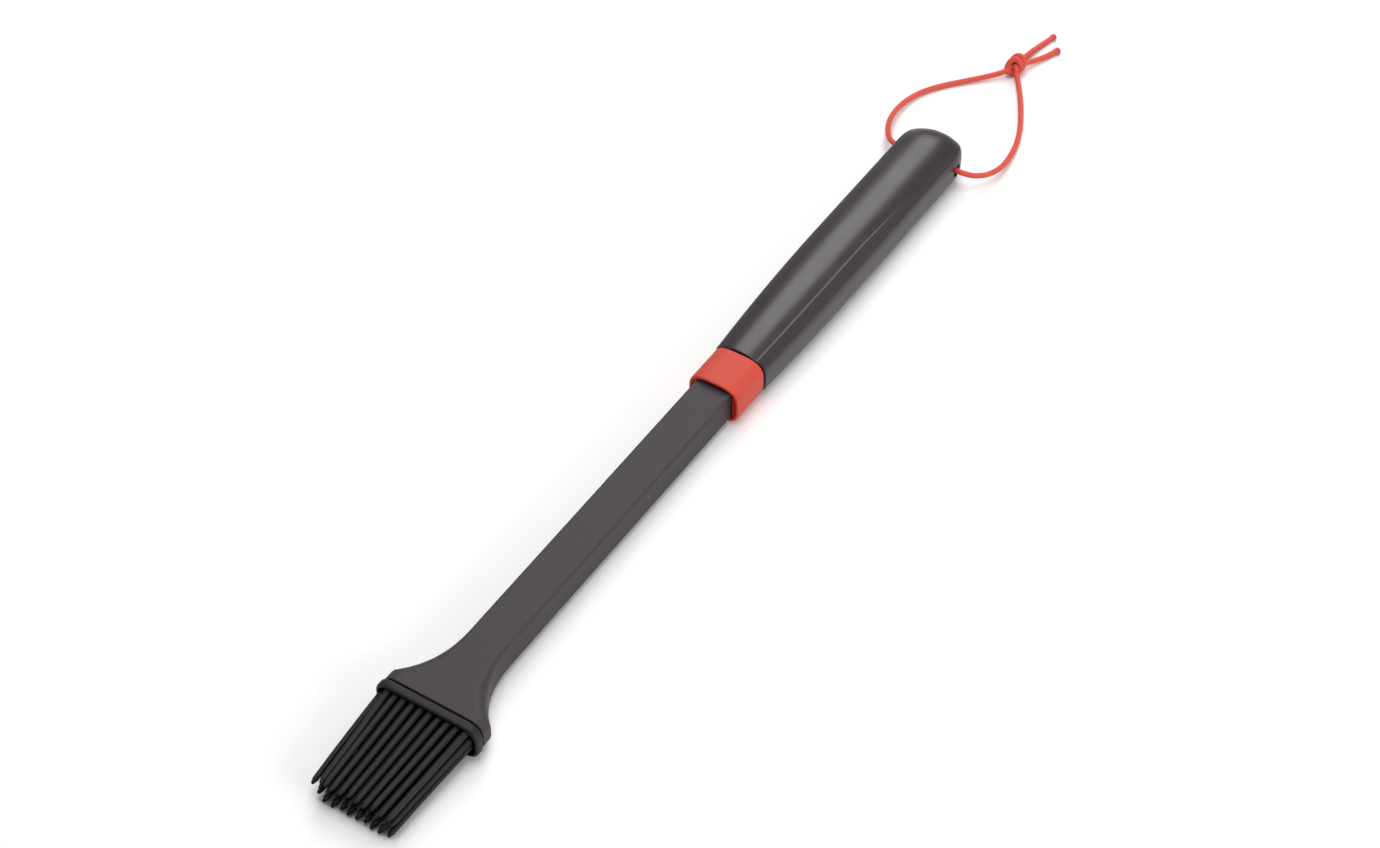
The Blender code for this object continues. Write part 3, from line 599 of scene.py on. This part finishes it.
def cutBore(piece):
    # a cutter turned from a profile that flares at both mouths, taken out with an exact Boolean
    half = np.array([gripHigh[1] + boreCut["reach"], *(boreCut["surface"] - np.array(boreCut["depths"]))])
    sideways = np.concatenate([-half, [0], half[::-1]])
    flares = boreCut["flares"]
    radius = boreCut["radius"] + boreCut["flare"] * np.array([*flares, 0, *flares[::-1]])
    turn = np.linspace(0, 2 * np.pi, boreCut["sides"], endpoint=False)[None, :]
    points = np.stack([boreX + radius[:, None] * np.sin(turn), sideways[:, None] + 0 * turn,
                       boreZ + radius[:, None] * np.cos(turn)], axis=-1)
    cutter = surfacePiece("boreCutter", points, materials["gripBlack"])
    modifier = piece.modifiers.new("bore", "BOOLEAN")
    modifier.object = cutter
    modifier.solver = "EXACT"
    bpy.context.view_layer.update()
    mesh = bpy.data.meshes.new_from_object(piece.evaluated_get(bpy.context.evaluated_depsgraph_get()))
    piece.modifiers.clear()
    piece.data = mesh
    bpy.data.objects.remove(cutter, do_unlink=True)
    mesh.set_sharp_from_angle(angle=math.radians(50))


def makeGrip():
    # one skin: tang socket, boss, face and its edge, then rings of ovals along the body and the dome
    face = collarHigh[0] + grip["groove"]
    domeStart = gripHigh[0] - grip["dome"]
    collarMiddle = (collarHigh[2] + collarLow[2]) / 2
    edge = grip["faceEdge"]
    tangEnd = shaftHigh[0] + gap
    tangWidth = shaft["width"] / 2 - grip["tangGap"]
    tangHeight = (shaft["high"] - shaft["low"]) / 2 - grip["tangGap"]
    bossWidth = collarHigh[1] - grip["bossInset"]
    bossHeight = (collarHigh[2] - collarLow[2]) / 2 - grip["bossInset"]
    frontX = np.array([tangEnd, gripLow[0], gripLow[0], face])
    frontWidth = np.array([tangWidth, tangWidth, bossWidth, bossWidth])
    frontHeight = np.array([tangHeight, tangHeight, bossHeight, bossHeight])
    frontPower = np.repeat([grip["tangPower"], grip["squareness"]], 2)
    front = ovalSection(frontWidth, frontHeight, np.full(4, collarMiddle), frontPower, grip["columns"])
    turn = np.linspace(0, np.pi / 2, grip["edgeRings"])
    edgeX, edgeInset = face + edge * (1 - np.cos(turn)), edge * (1 - np.sin(turn))
    bodyX = np.linspace(face + edge, domeStart, grip["bodyRings"])[1:]
    domeX = gripHigh[0] - grip["dome"] * np.cos(np.radians(np.linspace(0, 89, grip["domeRings"])[1:]))
    x = np.concatenate([edgeX, bodyX, domeX])
    inset = np.concatenate([edgeInset, np.zeros(len(bodyX) + len(domeX))])
    width, height, middle = gripHalves(x)
    width, height = (width - inset)[:, None], (height - inset)[:, None]
    section = ovalSection(width, height, middle, np.full(len(x), grip["squareness"]), grip["columns"])
    # the top is the lower one of the oval and a shallow parabola across the grip, smoothly joined
    sideways = np.abs(section[:, :, 0])
    share = (section[:, :, 1] - middle[:, None]) / height
    parabola = 1 - grip["crown"] * (sideways / width) ** 2
    mix = np.clip(0.5 + 0.5 * (parabola - share) / grip["crownBlend"], 0, 1)
    lower = parabola * (1 - mix) + share * mix - grip["crownBlend"] * mix * (1 - mix)
    section[:, :, 1] = middle[:, None] + height * np.where(share > 0, lower, share)
    # the ridge is a Gaussian rise at a share of the half width that grows towards the end, with a wide
    # shallow hollow inside it; both are on the near side only and fade before the end
    outwards = grip["ridgeSpread"] * ease((x - grip["spreadFrom"]) / grip["spreadOver"])
    ridgePlace = width * (grip["ridgePlace"] + outwards)[:, None]
    fade = ease((grip["ridgeEnd"] - (x - face)) / (grip["ridgeFade"] * grip["ridgeEnd"]))[:, None]
    ridge = grip["ridgeHeight"] * np.exp(-((sideways - ridgePlace) / grip["ridgeWidth"]) ** 2)
    hollowPlace = ridgePlace - grip["hollowPlace"] * grip["hollowWidth"]
    hollow = grip["hollowDepth"] * np.exp(-((sideways - hollowPlace) / grip["hollowWidth"]) ** 2)
    nearTop = (section[:, :, 0] < 0) & (share > grip["ridgeFrom"])
    section[:, :, 1] += nearTop * fade * (ridge - hollow)
    points = np.concatenate([carried(frontX, front), carried(x, section)])
    piece = surfacePiece("gripBody", points, materials["gripBlack"], sharpAngle=50.0)
    cutBore(piece)
    return place(piece, "handle", ["grip"])


makeGrip()
print("grip is made")


# the silicone head has a rim with a rolled edge round a recess, and a plug behind it
head = dict(corner=7 * mm, lip=1.1 * mm, back=0.9 * mm, wall=1.2 * mm, rimDepth=4.2 * mm, recess=2.07 * mm,
            plugInset=2.5 * mm, plugEdge=0.6 * mm, plugRings=6, floorEdge=0.25 * mm, floorEnd=0.5 * mm,
            cornerLoss=0.7, lipTurn=150, lipRings=11, backRings=6, shadeFrom=80, shadeOver=60)


def rimSection(inset):                 # box sections of the rim's size, drawn in by inset
    inset = np.asarray(inset, float)
    corner = head["corner"] - head["cornerLoss"] * inset
    return boxSection(baseHigh[1] - inset, baseLow[2] + inset, baseHigh[2] - inset, corner, corner)


def makeHeadBase():
    # one skin: out of the recess, over the lip, along the rim's crowned side, down its back, along the plug
    front, back = baseLow[0], baseLow[0] + head["rimDepth"]
    wall, lip = head["wall"], head["lip"]
    bottom, edge = front + head["recess"], head["floorEdge"]
    floorX = np.array([bottom, bottom - edge, front + head["floorEnd"]])
    floorInset = wall + np.array([edge, 0, 0])
    turn = np.radians(np.linspace(head["lipTurn"], 0, head["lipRings"]))
    lipX = front + lip * (1 - np.sin(turn))
    lipInset = np.minimum(lip * (1 - np.cos(turn)), wall)
    endTurn = np.radians(np.linspace(0, 90, head["backRings"]))
    backX = back - head["back"] * (1 - np.sin(endTurn))
    backInset = head["back"] * (1 - np.cos(endTurn))
    rimX = np.concatenate([floorX, lipX, backX])
    rim = carried(rimX, rimSection(np.concatenate([floorInset, lipInset, backInset])))
    neckEnd = shaftLow[0]
    plugEnd = baseHigh[0]
    plugSide = np.linspace(neckEnd, plugEnd - head["plugEdge"], head["plugRings"])
    plugX = np.concatenate([[back], plugSide, [plugEnd]])
    plugInset = np.full(len(plugX), head["plugInset"])
    plugInset[-1] += head["plugEdge"]
    plug = carried(plugX, neckSection(np.maximum(plugX, neckEnd), plugInset))
    # painted shade: the recess floor is in full painted shade and the lip darkens as it rolls in towards it;
    # the back and the plug are unshaded
    lipShade = ease((turn / np.pi * 180 - head["shadeFrom"]) / head["shadeOver"])
    recess = np.concatenate([np.ones(len(floorX)), lipShade, np.zeros(len(backX) + len(plugX))])
    piece = surfacePiece("headBase", np.concatenate([rim, plug]), materials["siliconeBlack"], sharpAngle=55.0,
                         recess=recess)
    return place(piece, "head", ["head_base"])


makeHeadBase()
print("head base is made")


# the bristles are tapered rods with blunt tips, each with its own small lean and length; counts, rowShift,
# closeRow and shade have one value for each row, from the top down
bristles = dict(counts=(10, 11, 10, 9), rootRadius=1.48 * mm, tipRadius=1.24 * mm, fillet=0.35 * mm,
                filletFade=0.7 * mm, rowShift=(0.3 * mm, 0.85 * mm, -1.2 * mm, -1.5 * mm),
                pointRadius=0.78 * mm, point=1.7 * mm, pointTurn=(12, 88), pointRings=5,
                sideSpan=21.825 * mm, tipShare=0.89, lowestTip=1.3 * mm, tipRowStep=3.75 * mm, sink=0.2 * mm,
                leanSideways=0.35 * mm, leanUp=0.30 * mm, leanDown=0.6, shortest=1.3 * mm, bow=0.35 * mm,
                bowLift=0.35, closeRoot=1.0 * mm, closeTip=2.6 * mm, closeFade=0.55,
                closeRow=(1.0, 0.35, 0.0, 0.0), shade=(0.0, 0.45, 0.75, 0.8), shadeLength=5 * mm,
                rings=26, ringPower=1.5, sides=14, bendFrom=-1.5 * mm, bendTo=26 * mm)


def makeBristleRow(row):
    # a rod's centre runs straight from root to tip with a small bow; its radius tapers evenly, flares at
    # the root by a fading exponential, and closes as a half circle at the tip
    count = bristles["counts"][row]
    jointName = "bristle_bend" if row == 0 else f"bristle_bend_{row + 1}"
    axisX, _, height = joints[jointName]["pos_m"]
    rng = np.random.default_rng(40 + row)
    pitch = bristles["sideSpan"] * 2 / (max(bristles["counts"]) - 1)
    sideways = (np.arange(count) - (count - 1) / 2) * pitch + bristles["rowShift"][row]
    # in the upper rows the rods at the far end lean in, each by a set share of the one outside it
    closeUp = bristles["closeRow"][row] * bristles["closeFade"] ** np.arange(count)[::-1]
    floorX = baseLow[0] + head["recess"]
    root = np.stack([np.full(count, floorX + bristles["sink"]), sideways - bristles["closeRoot"] * closeUp,
                     np.full(count, height)], axis=-1)
    tipHeight = bristles["lowestTip"] + bristles["tipRowStep"] * (len(bristles["counts"]) - 1 - row)
    tip = np.stack([rowLow[0] + bristles["shortest"] * rng.random(count) ** 2,
                    sideways * bristles["tipShare"] + bristles["leanSideways"] * rng.uniform(-1, 1, count)
                    - bristles["closeTip"] * closeUp,
                    tipHeight + bristles["leanUp"] * rng.uniform(-bristles["leanDown"], 1, count)], axis=-1)
    length = np.linalg.norm(tip - root, axis=1)[:, None]
    rings = bristles["rings"]
    tipTurn = np.radians(np.linspace(*bristles["pointTurn"], bristles["pointRings"]))[None, :]
    end = bristles["pointRadius"]
    straight = (1 - (1 - np.linspace(0, 1, rings)[None, :]) ** bristles["ringPower"]) * (length - end)
    along = np.concatenate([straight, length - end * (1 - np.sin(tipTurn))], axis=1)
    taper = bristles["rootRadius"] + (bristles["tipRadius"] - bristles["rootRadius"]) * (straight / length)
    taper = taper + bristles["fillet"] * np.exp(-straight / bristles["filletFade"])
    # the last stretch narrows to a small blunt point
    taper = taper + (end - taper) * ease(1 - (length - end - straight) / bristles["point"])
    radius = np.concatenate([taper, end * np.cos(tipTurn) + 0 * length], axis=1)
    share = along / length
    bow = bristles["bow"] * rng.uniform(-1, 1, (count, 1)) * np.sin(np.pi * share)
    centre = root[:, None, :] + (tip - root)[:, None, :] * share[:, :, None]
    centre[:, :, 1] += bow
    centre[:, :, 2] += bristles["bowLift"] * np.abs(bow)
    tangent = np.gradient(centre, axis=1)
    tangent /= np.linalg.norm(tangent, axis=2, keepdims=True)
    across = np.cross(tangent, np.array([0.0, 0.0, 1.0]))
    across /= np.linalg.norm(across, axis=2, keepdims=True)
    upward = np.cross(across, tangent)
    turn = np.linspace(0, 2 * np.pi, bristles["sides"], endpoint=False)
    ring = (across[:, :, None, :] * np.cos(turn)[None, None, :, None]
            + upward[:, :, None, :] * np.sin(turn)[None, None, :, None])
    points = centre[:, :, None, :] + ring * radius[:, :, None, None]
    # painted shade: rods are darker near their roots, and the lower rows all along, under the upper ones
    recess = np.maximum(np.exp(-along / bristles["shadeLength"]), bristles["shade"][row])
    piece = surfacePiece(f"bristleRow{row + 1}", points, materials["siliconeBlack"], sharpAngle=60.0,
                         recess=recess)
    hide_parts(f"bristle_row_{row + 1}")
    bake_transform(piece)
    return piece


for row in range(len(bristles["counts"])):
    makeBristleRow(row)
print("bristles are made")


# route points of the hanging cord in mm, x counted from the cross hole
leftRoute = [(0.0, 0.2, 10.6), (0.0, 8.0, 10.6), (0.0, 15.2, 10.6), (1.1, 19.0, 10.2),
             (4.5, 23.6, 8.9), (11.4, 28.6, 7.2), (20.5, 32.4, 5.4), (30.5, 34.2, 3.8),
             (40.5, 33.9, 2.6), (50.0, 31.3, 1.9), (59.0, 26.1, 1.6), (67.5, 19.2, 1.6),
             (75.5, 11.6, 2.2), (81.5, 6.0, 3.1), (85.2, 3.2, 3.9)]
rightRoute = [(0.0, -0.2, 10.6), (0.0, -8.0, 10.6), (0.0, -15.2, 10.6), (0.7, -18.8, 9.9),
              (4.1, -23.2, 8.0), (10.8, -26.9, 5.8), (20.4, -28.6, 3.9), (30.8, -27.8, 2.6),
              (41.3, -25.6, 1.8), (51.3, -22.0, 1.5), (60.8, -17.4, 1.6), (70.3, -12.0, 2.0),
              (78.3, -6.6, 2.9), (84.0, -2.2, 3.8)]
longTail = [(94.3, 1.4, 3.6), (100.7, 1.8, 2.3), (108.2, 1.0, 1.7), (115.7, -0.6, 1.5),
            (121.2, -1.9, 1.5)]
shortTail = [(93.9, -1.2, 3.9), (99.7, -3.4, 2.6), (106.2, -6.2, 1.9), (112.7, -8.6, 1.7)]
cord = dict(diameter=2.6 * mm, ringStep=0.2 * mm, sides=40, exitSide=15.5 * mm, finePoints=24)
# the knot's centre and inner strands are counted as the routes are; angles are in degrees, lobeTurn and
# the two eases in radians
knot = dict(centre=(89.5, 1.0, 5.25), halfWidth=2.9 * mm, halfHeight=3.75 * mm, lobe=0.2 * mm, lobeTurn=2.1,
            pitch=3.2 * mm, start=-3.3 * mm, lean=0.50, strand=1.42 * mm, angles=(-110, 645), rings=330,
            drawnIn=0.25, startEase=1.5, endEase=1.4, tuck=1.6 * mm, coreShare=0.985, coreOverlap=0.6,
            leftInside=[(86.6, 2.3, 4.7), (88.6, 1.6, 5.2), (91.3, 1.5, 4.7)],
            rightInside=[(85.6, -1.0, 5.6), (87.5, 0.2, 6.0), (90.6, 0.1, 5.2)])
bead = dict(rings=22, sides=32, back=1.4 * mm, length=3.9 * mm, radius=1.28 * mm, swell=0.50 * mm,
            swellEnd=0.8, capStart=0.6, capLength=0.405, capPower=4, capRoot=0.4, lumps=(0.05, 0.03),
            lumpTwist=4, lowest=0.05 * mm)


def walkedAlong(path):                 # distance along a path at each of its points
    return np.concatenate([[0], np.cumsum(np.linalg.norm(np.diff(path, axis=0), axis=1))])


def throughPoints(route, step):
    # a Catmull-Rom curve through the route's points, read at even distances of about step
    points = np.array(route, float) * mm
    points = np.concatenate([[2 * points[0] - points[1]], points, [2 * points[-1] - points[-2]]])
    before, start, end, after = points[:-3], points[1:-2], points[2:-1], points[3:]
    t = np.linspace(0, 1, cord["finePoints"], endpoint=False)[None, :, None]
    before, start, end, after = (value[:, None, :] for value in (before, start, end, after))
    fine = 0.5 * (2 * start + (end - before) * t + (2 * before - 5 * start + 4 * end - after) * t ** 2
                  + (3 * start - before - 3 * end + after) * t ** 3)
    fine = np.concatenate([fine.reshape(-1, 3), points[-2:-1]])
    fine[:, 0] += boreX
    walked = walkedAlong(fine)
    even = np.linspace(0, walked[-1], max(int(walked[-1] / step), 4))
    return np.stack([np.interp(even, walked, fine[:, axis]) for axis in range(3)], axis=1)


def braidedTube(path, radius, reference=(0, 0, 1)):
    # a tube whose surface rises by the braid: |sin| ridges of two diagonals, one or the other on top
    along = walkedAlong(path)
    tangent = np.gradient(path, axis=0)
    tangent /= np.linalg.norm(tangent, axis=1, keepdims=True)
    across = np.cross(tangent, np.array(reference, float))
    across /= np.linalg.norm(across, axis=1, keepdims=True)
    upward = np.cross(across, tangent)
    turn = np.linspace(0, 2 * np.pi, cord["sides"], endpoint=False)[None, :]
    around = turn * braid["strands"] / (2 * np.pi)
    right, left = around + along[:, None] / braid["step"], around - along[:, None] / braid["step"]
    onTop = (np.floor(right) + np.floor(left)) % 2
    ridge = np.where(onTop > 0.5, np.abs(np.sin(np.pi * left)), np.abs(np.sin(np.pi * right)))
    rise = radius + braid["height"] * (ridge - braid["mean"])
    ring = across[:, None, :] * np.cos(turn)[:, :, None] + upward[:, None, :] * np.sin(turn)[:, :, None]
    return path[:, None, :] + ring * rise[:, :, None], along


def makeStrand(name, route, node):     # a cord of even thickness along its route
    path = throughPoints(route, cord["ringStep"])
    points, along = braidedTube(path, cord["diameter"] / 2)
    piece = surfacePiece(name, points, materials["cordRed"], along=along)
    return place(piece, "hanging_loop", [node]), path


def makeMeltedEnd(name, route, node, seed):
    # a melted bead: a rounded cap whose radius swells past the cord's, with slow lumps round it
    path = throughPoints(route, cord["ringStep"])
    axis = path[-1] - path[-2]
    axis /= np.linalg.norm(axis)
    rows = np.linspace(0, 1, bead["rings"])
    along = -bead["back"] + rows * bead["length"]
    swell = bead["radius"] + bead["swell"] * ease(rows / bead["swellEnd"])
    closing = np.clip((rows - bead["capStart"]) / bead["capLength"], 0, 1) ** bead["capPower"]
    radius = swell * np.clip(1 - closing, 0, 1) ** bead["capRoot"]
    turn = np.linspace(0, 2 * np.pi, bead["sides"], endpoint=False)[None, :]
    phase = np.random.default_rng(seed).uniform(0, 2 * np.pi, 3)
    lumps = (1 + bead["lumps"][0] * np.sin(2 * turn + phase[0])
             + bead["lumps"][1] * np.sin(3 * turn + phase[1] + bead["lumpTwist"] * rows[:, None]))
    across = np.cross(axis, np.array([0.0, 0.0, 1.0]))
    across /= np.linalg.norm(across)
    upward = np.cross(across, axis)
    ring = across * np.cos(turn)[:, :, None] + upward * np.sin(turn)[:, :, None]
    points = (path[-1] + axis * along[:, None])[:, None, :] + ring * (radius[:, None] * lumps)[:, :, None]
    points[:, :, 2] = np.maximum(points[:, :, 2], bead["lowest"])
    piece = surfacePiece(name, points, materials["meltedRed"])
    return place(piece, "hanging_loop", [node])


def makeKnot():
    # the knot's turns: a flattened helix round the cord's axis that leans towards the tails, with a wider
    # first lobe, and with both ends drawn inside
    centre = np.array(knot["centre"]) * mm + np.array([boreX, 0, 0])
    angle = np.radians(np.linspace(*knot["angles"], knot["rings"]))
    turnsDone = angle / (2 * np.pi)
    outside = ease((angle - angle[0]) / knot["startEase"]) * ease((angle[-1] - angle) / knot["endEase"])
    out = knot["drawnIn"] + (1 - knot["drawnIn"]) * outside
    halfWidth = knot["halfWidth"] + knot["lobe"] * ease(1 - angle / knot["lobeTurn"])
    height = knot["halfHeight"] * out * np.sin(angle)
    turns = np.stack([knot["start"] + knot["pitch"] * turnsDone + knot["lean"] * height
                      + knot["tuck"] * (1 - out) * np.where(turnsDone < 0.5, 1, -1),
                      halfWidth * out * np.cos(angle), height], axis=-1)
    points, along = braidedTube(centre + turns, knot["strand"], (1, 0, 0))
    piece = surfacePiece("knotTurns", points, materials["cordRed"], along=along)
    return place(piece, "hanging_loop", ["knot"])


def makeCore(name, start, inside, end):
    # a strand inside the knot from one cord end to one tail; keep cuts the curve just past both of them
    path = throughPoints(start[-2:] + inside + end[:2], cord["ringStep"])
    over = knot["coreOverlap"]
    keep = (path[:, 0] > (start[-1][0] - over) * mm + boreX) & (path[:, 0] < (end[0][0] + over) * mm + boreX)
    points, along = braidedTube(path[keep], knot["coreShare"] * cord["diameter"] / 2)
    piece = surfacePiece(name, points, materials["cordRed"], along=along)
    return place(piece, "hanging_loop", ["knot"])


cordLeft, leftPath = makeStrand("cordLeft", leftRoute, "cord_left")
cordRight, rightPath = makeStrand("cordRight", rightRoute, "cord_right")
onCord = [makeKnot(), makeCore("knotCoreLeft", leftRoute, knot["leftInside"], longTail),
          makeCore("knotCoreRight", rightRoute, knot["rightInside"], shortTail),
          makeStrand("tailLong", longTail, "tail_long")[0],
          makeStrand("tailShort", shortTail, "tail_short")[0],
          makeMeltedEnd("tailEndLong", longTail, "tail_end_long", 3),
          makeMeltedEnd("tailEndShort", shortTail, "tail_end_short", 8)]
print("cord is made")
